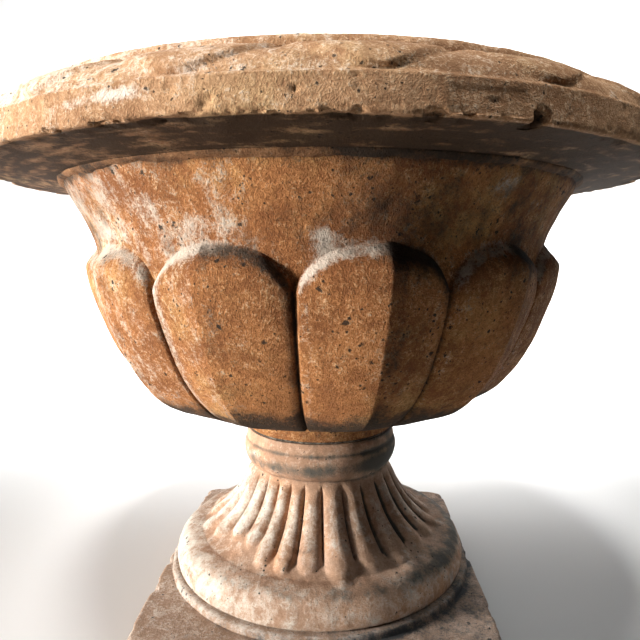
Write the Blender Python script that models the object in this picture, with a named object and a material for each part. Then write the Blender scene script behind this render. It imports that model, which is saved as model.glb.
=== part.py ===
"""Terracotta garden urn, built as the fired sections and ironwork that it is put together from.

A square plinth carries a ribbed foot, the foot carries a lobed bowl, and a heavy moulded rim sits on
the bowl's wall. Lime mortar beds the joints, and one tie rod up the middle clamps bowl, foot and
plinth together. Metres, +Z up. The origin is on the urn's axis, at the plinth's underside. Angles
around the axis are measured from -Y towards +X.
"""
import math

import bmesh
import bpy

# Gap between pieces that touch
GAP = 0.0003

# Plinth: a square slab with a raised round seat, bored for the tie rod and recessed underneath
PLINTH_WIDTH = 0.314
PLINTH_HEIGHT = 0.040
PLINTH_CHAMFER = 0.004
SEAT_RADIUS = 0.1535
SEAT_TOP = 0.0455
ROD_HOLE_RADIUS = 0.011
ANCHOR_RECESS_RADIUS = 0.028
ANCHOR_RECESS_DEPTH = 0.022

# Foot: round shoulder, ribbed trumpet and collar, hollow underneath
MORTAR_THICKNESS = 0.0025
FOOT_BOTTOM = SEAT_TOP + MORTAR_THICKNESS
SHOULDER_RADIUS = 0.1475
RIB_END_RADIUS = 0.122
RIB_END_HEIGHT = 0.0755
COLLAR_BOTTOM_RADIUS = 0.070
COLLAR_BOTTOM = 0.1435
CREASE_RADIUS = 0.0775
CREASE_HEIGHT = 0.1705
COLLAR_TOP_RADIUS = 0.0742
COLLAR_TOP = 0.181
RIB_COUNT = 26
RIB_HEIGHT = 0.0055
RIB_SHARPNESS = 0.6
RIB_GROOVE_SHARE = 0.35
FOOT_HOLLOW_RADIUS = 0.118
FOOT_HOLLOW_TOP = 0.138
FOOT_HOLLOW_TOP_RADIUS = 0.045
SOCKET_RADIUS = 0.050
SOCKET_FLOOR = 0.155
WEB_HOLE_RADIUS = 0.022
COLLAR_UPPER_HANDLES = ((0.0755, 0.178), (0.0768, 0.174))
COLLAR_LOWER_HANDLES = ((0.0806, 0.166), (0.0800, 0.150))
TRUMPET_HANDLES = ((0.077, 0.120), (0.094, 0.088))
SHOULDER_HANDLES = ((0.138, 0.075), (0.1520, 0.067))
FOOT_HOLLOW_HANDLES = ((0.108, 0.062), (0.066, 0.075))

# Bowl: plain flaring wall above, twelve keeled lobes below, neck and spigot
NECK_BOTTOM = COLLAR_TOP + MORTAR_THICKNESS
SPIGOT_RADIUS = 0.046
SPIGOT_BOTTOM = 0.160
BELLY_BOTTOM_RADIUS = 0.094
BELLY_BOTTOM = 0.2065
BELLY_TOP_RADIUS = 0.2098
BELLY_TOP = 0.350
WAIST_RADIUS = 0.1925
WAIST = 0.287
WALL_TOP_RADIUS = 0.2372
SOFFIT_JOINT = 0.418
BOWL_TOP = 0.445
BOWL_MOUTH_RADIUS = 0.216
BOWL_FLOOR = 0.232
BOWL_FLOOR_RADIUS = 0.080
BOSS_RADIUS = 0.024
BOSS_HEIGHT = 0.002
DRAIN_HOLE_RADIUS = 0.007
DRAIN_CIRCLE_RADIUS = 0.045
DRAIN_COUNT = 4
INSIDE_WAIST_RADIUS = 0.190
INSIDE_WAIST = 0.335
WALL_HANDLES = ((0.226, 0.395), (0.2105, 0.375))
UPPER_BELLY_HANDLES = ((0.2098, 0.330), (0.2035, 0.312))
LOWER_BELLY_HANDLES = ((0.177, 0.250), (0.150, 0.2185))
NECK_HANDLES = ((0.083, 0.2045), (0.0765, 0.193))
INSIDE_LOWER_HANDLES = ((0.135, 0.236), (0.180, 0.275))
INSIDE_UPPER_HANDLES = ((0.192, 0.360), (0.205, 0.400))

LOBE_COUNT = 12
LOBE_VALLEY_ANGLE = math.radians(-2.7)
LOBE_HEIGHT = 0.0085
KEEL_HEIGHT = 0.004
LOBE_BORDER = 0.007
GROOVE_HALF_ANGLE = math.radians(2.0)
ARCH_SPRING = 0.327
ARCH_CROWN = 0.364
ARCH_LINE_MARGIN = 0.0012
WALL_ROW_HEIGHTS = (0.404, 0.390, 0.377)
BELLY_ROW_HEIGHTS = (0.268, 0.252, 0.239, 0.228, 0.219, 0.2125, 0.2085)
LOBE_FADE_RADII = (0.098, 0.132)
KEEL_FADE_RADII = (0.125, 0.175)

# Rim: soffit, flat band, swelling ovolo and rounded lip
RIM_RADIUS = 0.300
RIM_BOTTOM = 0.4233
BAND_TOP = 0.4435
BAND_TOP_RADIUS = 0.2985
LIP_RADIUS = 0.264
RIM_TOP = 0.475
LIP_INNER_RADIUS = 0.236
RIM_SEAT_RADIUS = 0.2395
SOFFIT_BEND_RADIUS = 0.270
OVOLO_HANDLES = ((0.279, 0.462), (0.291, 0.456))
THROAT_HANDLES = ((0.217, 0.462), (0.224, 0.472))
JOINT_ROLL = 0.005

# Ironwork
ROD_RADIUS = 0.006
NUT_WIDTH = 0.019
NUT_HEIGHT = 0.010
PLATE_THICKNESS = 0.004
SEAL_THICKNESS = 0.004
TOP_PLATE_RADIUS = 0.020
SEAL_RADIUS = 0.0215
ANCHOR_PLATE_RADIUS = 0.025
ANCHOR_PLATE_THICKNESS = 0.005
SPRING_WASHER_RADIUS = 0.0125
SPRING_WASHER_THICKNESS = 0.0025
WASHER_BORE_RADIUS = 0.0067
ROD_PROTRUSION = 0.006

ROUND_SIDES = 64
SMALL_SIDES = 24
SMOOTH_ANGLE = math.radians(32)

FINISHES = {
    "terracotta": ((0.60, 0.33, 0.19), 0.88, 0.0),
    "mortar": ((0.62, 0.58, 0.50), 0.95, 0.0),
    "steel": ((0.32, 0.30, 0.28), 0.55, 0.9),
    "rubber": ((0.03, 0.03, 0.03), 0.80, 0.0),
}


def clear_scene():
    for old in list(bpy.data.objects):
        bpy.data.objects.remove(old, do_unlink=True)


def finish(name, kind):
    """A material of the piece's own."""
    colour, roughness, metallic = FINISHES[kind]
    material = bpy.data.materials.new(name + "_" + kind)
    material.use_nodes = True
    shader = material.node_tree.nodes["Principled BSDF"]
    shader.inputs["Base Color"].default_value = (*colour, 1.0)
    shader.inputs["Roughness"].default_value = roughness
    shader.inputs["Metallic"].default_value = metallic
    return material


def add_object(name, mesh, kind, parent):
    piece = bpy.data.objects.new(name, mesh)
    bpy.context.scene.collection.objects.link(piece)
    piece.data.materials.append(finish(name, kind))
    piece.data.shade_smooth()
    piece.data.set_sharp_from_angle(angle=SMOOTH_ANGLE)
    piece.parent = parent
    return piece


def smoothstep(low, high, value):
    t = min(max((value - low) / (high - low), 0.0), 1.0)
    return t * t * (3.0 - 2.0 * t)


def bezier(start, first, second, end, steps):
    """Points on a cubic curve after its start, up to and including its end."""
    points = []
    for step in range(1, steps + 1):
        t = step / steps
        weights = ((1 - t) ** 3, 3 * t * (1 - t) ** 2, 3 * t * t * (1 - t), t ** 3)
        corners = (start, first, second, end)
        points.append(tuple(sum(w * p[axis] for w, p in zip(weights, corners)) for axis in (0, 1)))
    return points


def normals(line):
    """Unit normals of an open line that runs down an outer side, pointing away from the axis."""
    result = []
    for index in range(len(line)):
        before = line[max(index - 1, 0)]
        after = line[min(index + 1, len(line) - 1)]
        run = (after[0] - before[0], after[1] - before[1])
        length = math.hypot(*run)
        result.append((-run[1] / length, run[0] / length))
    return result


def ring_mesh(name, outlines):
    """A closed ring from (angle, closed outline) pairs, the outlines given as (radius, height)."""
    mesh = bpy.data.meshes.new(name)
    shape = bmesh.new()
    loops = []
    for angle, outline in outlines:
        side, forward = math.sin(angle), -math.cos(angle)
        loops.append([shape.verts.new((r * side, r * forward, z)) for r, z in outline])
    for here, there in zip(loops, loops[1:] + loops[:1]):
        for a, b, c, d in zip(here, here[1:] + here[:1], there[1:] + there[:1], there):
            shape.faces.new((a, b, c, d))
    bmesh.ops.recalc_face_normals(shape, faces=shape.faces)
    shape.to_mesh(mesh)
    shape.free()
    return mesh


def turned(name, outline, kind, parent, sides=ROUND_SIDES):
    """A plain turned ring of the given closed outline."""
    angles = [2 * math.pi * step / sides for step in range(sides)]
    mesh = ring_mesh(name, [(angle, outline) for angle in angles])
    return add_object(name, mesh, kind, parent)


def disc_mesh(name, radius, height, sides):
    """A round or polygonal disc with its underside at z = 0."""
    mesh = bpy.data.meshes.new(name)
    shape = bmesh.new()
    bmesh.ops.create_cone(shape, cap_ends=True, segments=sides, radius1=radius, radius2=radius,
                          depth=height)
    bmesh.ops.translate(shape, verts=shape.verts, vec=(0, 0, height / 2))
    shape.to_mesh(mesh)
    shape.free()
    return mesh


def cut(piece, name, mesh, location):
    """Cut a hidden shape out of a piece."""
    cutter = bpy.data.objects.new(name, mesh)
    bpy.context.scene.collection.objects.link(cutter)
    cutter.location = location
    cutter.parent = piece.parent
    cutter.hide_render = True
    cutter.display_type = "WIRE"
    modifier = piece.modifiers.new(name, "BOOLEAN")
    modifier.operation = "DIFFERENCE"
    modifier.solver = "EXACT"
    modifier.object = cutter


# Plinth

def make_plinth(parent):
    mesh = bpy.data.meshes.new("plinth")
    shape = bmesh.new()
    bmesh.ops.create_cube(shape, size=1.0)
    bmesh.ops.scale(shape, verts=shape.verts, vec=(PLINTH_WIDTH, PLINTH_WIDTH, PLINTH_HEIGHT))
    bmesh.ops.translate(shape, verts=shape.verts, vec=(0, 0, PLINTH_HEIGHT / 2))
    upper = [edge for edge in shape.edges if any(v.co.z > 0 for v in edge.verts)]
    bmesh.ops.bevel(shape, geom=upper, offset=PLINTH_CHAMFER, segments=2, profile=0.5,
                    affect="EDGES")
    shape.to_mesh(mesh)
    shape.free()
    plinth = add_object("plinth", mesh, "terracotta", parent)

    seat = bpy.data.objects.new("plinth_seat_disc", disc_mesh("plinth_seat_disc", SEAT_RADIUS,
                                                              SEAT_TOP / 2, ROUND_SIDES))
    bpy.context.scene.collection.objects.link(seat)
    seat.location = (0, 0, SEAT_TOP / 2)
    seat.parent = parent
    seat.hide_render = True
    seat.display_type = "WIRE"
    union = plinth.modifiers.new("raised_seat", "BOOLEAN")
    union.operation = "UNION"
    union.solver = "EXACT"
    union.object = seat

    cut(plinth, "plinth_rod_hole", disc_mesh("plinth_rod_hole", ROD_HOLE_RADIUS, 0.1, SMALL_SIDES),
        (0, 0, -0.02))
    cut(plinth, "plinth_anchor_recess",
        disc_mesh("plinth_anchor_recess", ANCHOR_RECESS_RADIUS, 2 * ANCHOR_RECESS_DEPTH, SMALL_SIDES),
        (0, 0, -ANCHOR_RECESS_DEPTH))
    return plinth


# Foot

def foot_outer():
    """The foot's outer line from collar top to bottom edge, without ribs."""
    collar_top = (COLLAR_TOP_RADIUS, COLLAR_TOP)
    crease = (CREASE_RADIUS, CREASE_HEIGHT)
    collar_bottom = (COLLAR_BOTTOM_RADIUS, COLLAR_BOTTOM)
    rib_end = (RIB_END_RADIUS, RIB_END_HEIGHT)
    bottom = (SHOULDER_RADIUS, FOOT_BOTTOM)
    line = [collar_top]
    line += bezier(collar_top, *COLLAR_UPPER_HANDLES, crease, 1)
    line += bezier(crease, *COLLAR_LOWER_HANDLES, collar_bottom, 4)
    line += bezier(collar_bottom, *TRUMPET_HANDLES, rib_end, 5)
    line += bezier(rib_end, *SHOULDER_HANDLES, bottom, 5)
    return line


def rib_lift(angle, height):
    """How far the foot's surface stands out from its plain line: round ribs, sunk grooves."""
    phase = abs(math.sin(angle * RIB_COUNT / 2))
    wave = phase ** RIB_SHARPNESS
    rise = smoothstep(COLLAR_BOTTOM - 0.001, COLLAR_BOTTOM - 0.016, height)
    end = smoothstep(RIB_END_HEIGHT - 0.001, RIB_END_HEIGHT + 0.004, height)
    return RIB_HEIGHT * (wave - RIB_GROOVE_SHARE) * rise * end


def make_foot(parent):
    outer = foot_outer()
    outward = normals(outer)
    inner = [(FOOT_HOLLOW_RADIUS, FOOT_BOTTOM)]
    inner += bezier(inner[0], *FOOT_HOLLOW_HANDLES, (FOOT_HOLLOW_TOP_RADIUS, FOOT_HOLLOW_TOP), 3)
    inner += [(WEB_HOLE_RADIUS, FOOT_HOLLOW_TOP), (WEB_HOLE_RADIUS, SOCKET_FLOOR)]
    inner += [(SOCKET_RADIUS, SOCKET_FLOOR), (SOCKET_RADIUS, COLLAR_TOP)]
    outlines = []
    for step in range(RIB_COUNT * 4):
        angle = 2 * math.pi * step / (RIB_COUNT * 4)
        lifted = []
        for point, normal in zip(outer, outward):
            lift = rib_lift(angle, point[1])
            lifted.append((point[0] + normal[0] * lift, point[1] + normal[1] * lift))
        outlines.append((angle, lifted + inner))
    return add_object("foot", ring_mesh("foot", outlines), "terracotta", parent)


# Bowl

def lobe_angles():
    """Angles from one valley between lobes to the next: groove, facet edge, facet, keel, and back."""
    lobe = 2 * math.pi / LOBE_COUNT
    edge = GROOVE_HALF_ANGLE
    middle = (edge + lobe / 2) / 2
    return [0.0, edge, middle, lobe / 2, lobe - middle, lobe - edge]


def arch_height(offset):
    """Height of a lobe's arched top at an angle from the valley beside it."""
    half = math.pi / LOBE_COUNT
    across = 1.0 - min(offset, 2 * half - offset) / half
    return ARCH_SPRING + (ARCH_CROWN - ARCH_SPRING) * math.sqrt(max(1.0 - across * across, 0.0))


def wall_line():
    """The plain wall from the rim's joint down to the top of the belly."""
    joint = (WALL_TOP_RADIUS, SOFFIT_JOINT)
    top = (BELLY_TOP_RADIUS, BELLY_TOP)
    return [joint] + bezier(joint, *WALL_HANDLES, top, 40)


def belly_line():
    """The belly under the lobes, from its top to the turn into the neck."""
    top = (BELLY_TOP_RADIUS, BELLY_TOP)
    waist = (WAIST_RADIUS, WAIST)
    bottom = (BELLY_BOTTOM_RADIUS, BELLY_BOTTOM)
    line = [top] + bezier(top, *UPPER_BELLY_HANDLES, waist, 40)
    return line + bezier(waist, *LOWER_BELLY_HANDLES, bottom, 60)


def neck_line():
    top = (BELLY_BOTTOM_RADIUS, BELLY_BOTTOM)
    return bezier(top, *NECK_HANDLES, (COLLAR_TOP_RADIUS, NECK_BOTTOM), 4)


def point_at_height(line, height):
    """The point of a falling line at a given height."""
    for upper, lower in zip(line, line[1:]):
        if lower[1] <= height <= upper[1]:
            share = (upper[1] - height) / (upper[1] - lower[1])
            return (upper[0] + (lower[0] - upper[0]) * share, height)
    return line[0] if height > line[0][1] else line[-1]


def lobe_lift(offset, radius, height):
    """How far a lobe stands out of the belly at an angle from the valley beside it."""
    lobe = 2 * math.pi / LOBE_COUNT
    offset = min(offset, lobe - offset)
    across = smoothstep(0.0, GROOVE_HALF_ANGLE, offset)
    below_arch = arch_height(offset) - height
    border = min(max(below_arch / LOBE_BORDER, 0.0), 1.0)
    body = smoothstep(*LOBE_FADE_RADII, radius)
    keel = (offset / (lobe / 2)) * KEEL_HEIGHT * smoothstep(*KEEL_FADE_RADII, radius)
    return (LOBE_HEIGHT * body + keel) * min(across, border)


def bowl_rows(offset):
    """The bowl's plain outer points at one angle, with rows laid along the lobe's arched top."""
    line = wall_line() + belly_line()[1:]
    arch = arch_height(offset)
    heights = [SOFFIT_JOINT, *WALL_ROW_HEIGHTS]
    heights += [arch + ARCH_LINE_MARGIN, arch - LOBE_BORDER / 2, arch - LOBE_BORDER]
    top = arch - LOBE_BORDER
    heights += [top + (WAIST - top) * step / 3 for step in (1, 2, 3)]
    heights += [*BELLY_ROW_HEIGHTS, BELLY_BOTTOM]
    return [point_at_height(line, height) for height in heights]


def make_bowl(parent):
    inner = [(SPIGOT_RADIUS, NECK_BOTTOM), (SPIGOT_RADIUS, SPIGOT_BOTTOM)]
    inner += [(ROD_HOLE_RADIUS, SPIGOT_BOTTOM), (ROD_HOLE_RADIUS, BOWL_FLOOR + BOSS_HEIGHT)]
    inner += [(BOSS_RADIUS, BOWL_FLOOR + BOSS_HEIGHT), (BOSS_RADIUS, BOWL_FLOOR)]
    inner += [(BOWL_FLOOR_RADIUS, BOWL_FLOOR)]
    inner += bezier(inner[-1], *INSIDE_LOWER_HANDLES, (INSIDE_WAIST_RADIUS, INSIDE_WAIST), 5)
    inner += bezier(inner[-1], *INSIDE_UPPER_HANDLES, (BOWL_MOUTH_RADIUS, BOWL_TOP), 3)
    outlines = []
    lobe = 2 * math.pi / LOBE_COUNT
    for number in range(LOBE_COUNT):
        for offset in lobe_angles():
            plain = bowl_rows(offset)
            lifted = []
            for point, normal in zip(plain, normals(plain)):
                lift = lobe_lift(offset, *point)
                lifted.append((point[0] + normal[0] * lift, point[1] + normal[1] * lift))
            top = [(WALL_TOP_RADIUS + 0.001, BOWL_TOP)]
            angle = LOBE_VALLEY_ANGLE + number * lobe + offset
            outlines.append((angle, top + lifted + neck_line() + inner))
    bowl = add_object("bowl", ring_mesh("bowl", outlines), "terracotta", parent)
    for number in range(DRAIN_COUNT):
        angle = 2 * math.pi * (number + 0.5) / DRAIN_COUNT
        name = f"bowl_drain_hole_{number + 1}"
        location = (DRAIN_CIRCLE_RADIUS * math.sin(angle), DRAIN_CIRCLE_RADIUS * math.cos(angle), 0.14)
        cut(bowl, name, disc_mesh(name, DRAIN_HOLE_RADIUS, 0.12, 16), location)
    return bowl


# Rim

def make_rim(parent):
    band_top = (BAND_TOP_RADIUS, BAND_TOP)
    outline = [(LIP_INNER_RADIUS, RIM_TOP), (LIP_RADIUS - 0.006, RIM_TOP)]
    outline += [(LIP_RADIUS, RIM_TOP - 0.004), (LIP_RADIUS + 0.001, RIM_TOP - 0.009)]
    outline += bezier(outline[-1], *OVOLO_HANDLES, (BAND_TOP_RADIUS - 0.004, BAND_TOP + 0.003), 4)
    outline += [band_top, (RIM_RADIUS, RIM_BOTTOM + 0.002), (RIM_RADIUS - 0.002, RIM_BOTTOM)]
    outline += [(SOFFIT_BEND_RADIUS, RIM_BOTTOM - 0.002), (RIM_SEAT_RADIUS, SOFFIT_JOINT + GAP)]
    outline += [(RIM_SEAT_RADIUS, BOWL_TOP + GAP), (BOWL_MOUTH_RADIUS, BOWL_TOP + GAP)]
    outline += bezier(outline[-1], *THROAT_HANDLES, (LIP_INNER_RADIUS, RIM_TOP), 4)[:-1]
    return turned("rim_ring", outline, "terracotta", parent)


def make_rim_joint(parent):
    """The roll of clay pressed into the corner under the rim, where it meets the bowl's wall."""
    wall = wall_line()
    low = SOFFIT_JOINT - JOINT_ROLL
    foot_of_roll = point_at_height(wall, low)
    outline = [(WALL_TOP_RADIUS + GAP + JOINT_ROLL, SOFFIT_JOINT)]
    outline += bezier(outline[0], (foot_of_roll[0] + 0.0040, low + 0.0035),
                      (foot_of_roll[0] + 0.0015, low + 0.001), (foot_of_roll[0] + GAP, low), 3)
    outline += [(WALL_TOP_RADIUS + GAP, SOFFIT_JOINT)]
    return turned("rim_joint_roll", outline, "terracotta", parent)


# Mortar beds

def make_mortar(parent):
    turned("base_mortar_bed", [(SHOULDER_RADIUS - 0.003, FOOT_BOTTOM - GAP),
                               (SHOULDER_RADIUS - 0.003, SEAT_TOP + GAP),
                               (FOOT_HOLLOW_RADIUS + 0.003, SEAT_TOP + GAP),
                               (FOOT_HOLLOW_RADIUS + 0.003, FOOT_BOTTOM - GAP)], "mortar", parent)
    turned("neck_mortar_bed", [(COLLAR_TOP_RADIUS - 0.001, NECK_BOTTOM - GAP),
                               (COLLAR_TOP_RADIUS - 0.001, COLLAR_TOP + GAP),
                               (SOCKET_RADIUS + 0.002, COLLAR_TOP + GAP),
                               (SOCKET_RADIUS + 0.002, NECK_BOTTOM - GAP)], "mortar", parent)


# Ironwork

def make_washer(name, radius, thickness, bottom, kind, parent):
    bore = WASHER_BORE_RADIUS
    outline = [(radius, thickness), (radius, 0.0), (bore, 0.0), (bore, thickness)]
    washer = turned(name, outline, kind, parent, SMALL_SIDES)
    washer.location = (0, 0, bottom)
    return washer


def make_nut(name, bottom, parent):
    """A hexagon nut with chamfered corners, bored to clear the rod."""
    corner = NUT_WIDTH / math.sqrt(3)
    outlines = []
    for step in range(SMALL_SIDES):
        angle = 2 * math.pi * step / SMALL_SIDES
        turn = (angle + math.pi / 6) % (math.pi / 3) - math.pi / 6
        reach = NUT_WIDTH / 2 / math.cos(turn)
        drop = 0.6 * max(reach - 0.95 * corner, 0.0)
        outlines.append((angle, [(NUT_WIDTH / 2 - 0.001, NUT_HEIGHT), (reach, NUT_HEIGHT - 0.001 - drop),
                                 (reach, 0.001 + drop), (NUT_WIDTH / 2 - 0.001, 0.0),
                                 (ROD_RADIUS + GAP, 0.0), (ROD_RADIUS + GAP, NUT_HEIGHT)]))
    nut = add_object(name, ring_mesh(name, outlines), "steel", parent)
    nut.location = (0, 0, bottom)
    return nut


def make_rod(bottom, top, parent):
    mesh = disc_mesh("tie_rod", ROD_RADIUS, top - bottom, SMALL_SIDES)
    rod = add_object("tie_rod", mesh, "steel", parent)
    rod.location = (0, 0, bottom)
    bevel = rod.modifiers.new("end_chamfer", "BEVEL")
    bevel.width = 0.001
    bevel.segments = 1
    bevel.limit_method = "ANGLE"
    return rod


def make_ironwork(parent):
    seal_bottom = BOWL_FLOOR + BOSS_HEIGHT + GAP
    plate_bottom = seal_bottom + SEAL_THICKNESS + GAP
    nut_bottom = plate_bottom + PLATE_THICKNESS + GAP
    make_washer("bowl_seal_washer", SEAL_RADIUS, SEAL_THICKNESS, seal_bottom, "rubber", parent)
    make_washer("bowl_plate_washer", TOP_PLATE_RADIUS, PLATE_THICKNESS, plate_bottom, "steel", parent)
    make_nut("bowl_nut", nut_bottom, parent)

    anchor_bottom = ANCHOR_RECESS_DEPTH - GAP - ANCHOR_PLATE_THICKNESS
    spring_bottom = anchor_bottom - GAP - SPRING_WASHER_THICKNESS
    base_nut_bottom = spring_bottom - GAP - NUT_HEIGHT
    make_washer("anchor_plate", ANCHOR_PLATE_RADIUS, ANCHOR_PLATE_THICKNESS, anchor_bottom, "steel",
                parent)
    make_washer("anchor_washer", SPRING_WASHER_RADIUS, SPRING_WASHER_THICKNESS, spring_bottom, "steel",
                parent)
    make_nut("anchor_nut", base_nut_bottom, parent)
    make_rod(base_nut_bottom - 0.0015, nut_bottom + NUT_HEIGHT + ROD_PROTRUSION, parent)


def main():
    clear_scene()
    urn = bpy.data.objects.new("urn", None)
    bpy.context.scene.collection.objects.link(urn)
    make_plinth(urn)
    make_foot(urn)
    make_bowl(urn)
    make_rim(urn)
    make_rim_joint(urn)
    make_mortar(urn)
    make_ironwork(urn)


main()
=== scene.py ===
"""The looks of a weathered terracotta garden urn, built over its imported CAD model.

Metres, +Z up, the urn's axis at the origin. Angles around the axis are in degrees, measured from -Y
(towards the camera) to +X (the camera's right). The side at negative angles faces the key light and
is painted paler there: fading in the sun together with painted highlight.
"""

import math

import bpy
import numpy as np
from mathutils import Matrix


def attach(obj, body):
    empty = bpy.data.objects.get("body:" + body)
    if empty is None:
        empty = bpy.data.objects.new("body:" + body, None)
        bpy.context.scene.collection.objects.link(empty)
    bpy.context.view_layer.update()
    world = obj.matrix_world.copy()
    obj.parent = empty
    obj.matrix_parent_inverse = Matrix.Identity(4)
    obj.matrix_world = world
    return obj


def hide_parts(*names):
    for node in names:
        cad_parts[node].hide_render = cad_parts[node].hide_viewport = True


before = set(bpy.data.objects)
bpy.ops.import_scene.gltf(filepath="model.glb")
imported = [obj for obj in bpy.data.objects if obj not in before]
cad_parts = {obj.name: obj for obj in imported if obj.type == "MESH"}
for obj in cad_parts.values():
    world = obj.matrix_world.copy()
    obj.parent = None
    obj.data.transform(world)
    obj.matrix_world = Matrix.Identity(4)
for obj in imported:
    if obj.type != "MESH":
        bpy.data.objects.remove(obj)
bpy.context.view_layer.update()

# Sizes taken from the CAD model, in metres
GAP = 0.0003
PLINTH_WIDTH = 0.314
PLINTH_HEIGHT = 0.040
SEAT_RADIUS = 0.1535
SEAT_TOP = 0.0455
ROD_HOLE_RADIUS = 0.011
ANCHOR_RECESS_RADIUS = 0.028
ANCHOR_RECESS_DEPTH = 0.022
FOOT_BOTTOM = 0.048
COLLAR_BOTTOM = 0.1435
RIB_END_HEIGHT = 0.0755
COLLAR_TOP = 0.181
NECK_BOTTOM = 0.1835
COLLAR_TOP_RADIUS = 0.0742
BELLY_BOTTOM_RADIUS = 0.094
BELLY_BOTTOM = 0.2065
BELLY_TOP_RADIUS = 0.2098
BELLY_TOP = 0.350
WAIST_RADIUS = 0.1925
WAIST = 0.287
WALL_TOP_RADIUS = 0.2372
SOFFIT_JOINT = 0.418
BOWL_TOP = 0.445
BOWL_MOUTH_RADIUS = 0.216
INSIDE_WAIST_RADIUS = 0.190
INSIDE_WAIST = 0.335
BOWL_FLOOR_RADIUS = 0.080
BOWL_FLOOR = 0.232
SPIGOT_RADIUS = 0.046
SPIGOT_BOTTOM = 0.160
BOSS_RADIUS = 0.024
BOSS_HEIGHT = 0.002
DRAIN_HOLE_RADIUS = 0.007
DRAIN_CIRCLE_RADIUS = 0.045
DRAIN_COUNT = 4
LOBE_COUNT = 12
ARCH_SPRING = 0.327
ARCH_CROWN = 0.364
RIM_SEAT_RADIUS = 0.2395
RIM_BOTTOM = 0.4233
BAND_TOP = 0.4435
OVOLO_BOTTOM = 0.4465
LIP_HEIGHT = 0.475

# Shared looks
SHARP_EDGE = math.radians(50)
# The side facing the key light, painted paler as highlight and as fading in the sun
BLEACHED_LIT_SIDE = -75

# Noise

rng = np.random.RandomState(23)
PERMUTATION = rng.permutation(256)
GRADIENTS = rng.normal(size=(256, 3))
GRADIENTS /= np.linalg.norm(GRADIENTS, axis=1)[:, None]


def gradient_noise(points):
    """Smooth noise of about -1 to 1 that changes over one unit."""
    cell = np.floor(points).astype(int)
    part = points - cell
    ease = part ** 3 * (part * (part * 6 - 15) + 10)
    total = 0.0
    for corner in np.ndindex(2, 2, 2):
        picked = 0
        for axis in range(3):
            picked = PERMUTATION[(picked + cell[..., axis] + corner[axis]) & 255]
        slope = (GRADIENTS[picked] * (part - corner)).sum(-1)
        weight = np.prod(np.where(corner, ease, 1 - ease), axis=-1)
        total = total + slope * weight
    return total * 1.7


def noise(points, size, octaves=2, shift=0.0):
    """Layered noise of about -1 to 1 with its largest features of the given size in metres."""
    scaled = points / size + shift
    total, weight, weights = 0.0, 1.0, 0.0
    for _ in range(octaves):
        total = total + weight * gradient_noise(scaled)
        weights += weight
        scaled = scaled * 2.07 + 19.3
        weight *= 0.55
    return total / weights * 1.2


# Curves and rings

def smooth(low, high, value):
    """0 at low and 1 at high, eased between. Low may be the larger of the two."""
    t = np.clip((value - low) / (high - low), 0.0, 1.0)
    return t * t * (3 - 2 * t)


def bump(value, middle, half_width):
    """A soft hump: 1 in the middle, falling to nothing about two half widths away."""
    return np.exp(-((value - middle) / half_width) ** 2)


def curve(start, first, second, end, steps):
    """Points on a cubic curve after its start, up to and including its end."""
    t = np.linspace(0, 1, steps + 1)[1:, None]
    weights = ((1 - t) ** 3, 3 * t * (1 - t) ** 2, 3 * t * t * (1 - t), t ** 3)
    return sum(w * np.array(p) for w, p in zip(weights, (start, first, second, end)))


def straight(start, end, steps):
    """Points on a straight line after its start, up to and including its end."""
    t = np.linspace(0, 1, steps + 1)[1:, None]
    return (1 - t) * np.array(start) + t * np.array(end)


def outward(line):
    """Unit normals of lines of (radius, height) that run down an outer side."""
    run = np.gradient(line, axis=-2)
    normal = np.stack([-run[..., 1], run[..., 0]], -1)
    return normal / np.linalg.norm(normal, axis=-1, keepdims=True)


def swept(angles, outlines):
    """Points around the axis from (radius, height) outlines, one for each angle."""
    turn = np.radians(angles)[:, None]
    radius, height = outlines[..., 0], outlines[..., 1]
    return np.stack([radius * np.sin(turn), -radius * np.cos(turn), height], -1)


def turned_outlines(angles, outline):
    """The same outline once for each angle."""
    return np.repeat(np.array(outline)[None], len(angles), axis=0)


def ring(name, points, material, replaced, stains):
    """A closed ring from its points [around, along the outline], shown in place of CAD nodes.

    The stains are values for the material to read, one for each point or one for all of them.
    """
    around, along = points.shape[:2]
    here = np.arange(around * along).reshape(around, along)
    there = np.roll(here, -1, axis=0)
    faces = np.stack([here, np.roll(here, -1, axis=1), np.roll(there, -1, axis=1), there], -1)
    faces = faces.reshape(-1, 4)
    flat = points.reshape(-1, 3)
    corners = flat[faces]
    volume = (corners[:, 0] * np.cross(corners[:, 1], corners[:, 2])).sum()
    volume += (corners[:, 0] * np.cross(corners[:, 2], corners[:, 3])).sum()
    if volume < 0:
        faces = faces[:, ::-1]
    mesh = bpy.data.meshes.new(name)
    mesh.from_pydata(flat.tolist(), [], faces.tolist())
    mesh.shade_smooth()
    mesh.set_sharp_from_angle(angle=SHARP_EDGE)
    for key, values in stains.items():
        layer = mesh.attributes.new(key, "FLOAT", "POINT")
        spread = np.broadcast_to(values, (around, along)).ravel()
        layer.data.foreach_set("value", spread.astype("f"))
    mesh.materials.append(material)
    piece = bpy.data.objects.new(name, mesh)
    bpy.context.scene.collection.objects.link(piece)
    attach(piece, "root")
    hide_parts(*replaced)
    return piece


def apart(angle, middle):
    """Signed degrees from a middle angle, the short way round."""
    return (angle - middle + 180.0) % 360.0 - 180.0


def lit_side_bleaching(angle, half_width=60):
    """How far each angle around the urn is painted paler towards the key light, 0 to 1: fading in
    the sun together with painted highlight.
    """
    return bump(apart(angle, BLEACHED_LIT_SIDE), 0, half_width)


def patches(angle, height, spots):
    """Soft spots from (angle, height, half width in degrees, half height, strength)."""
    total = 0.0
    for middle, level, wide, tall, strength in spots:
        total = total + strength * bump(apart(angle, middle), 0, wide) * bump(height, level, tall)
    return total


# Materials

# Sockets of a Mix node that is set to colours
MIX_FACTOR, MIX_FIRST, MIX_SECOND, MIX_RESULT = 0, 6, 7, 2


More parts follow.
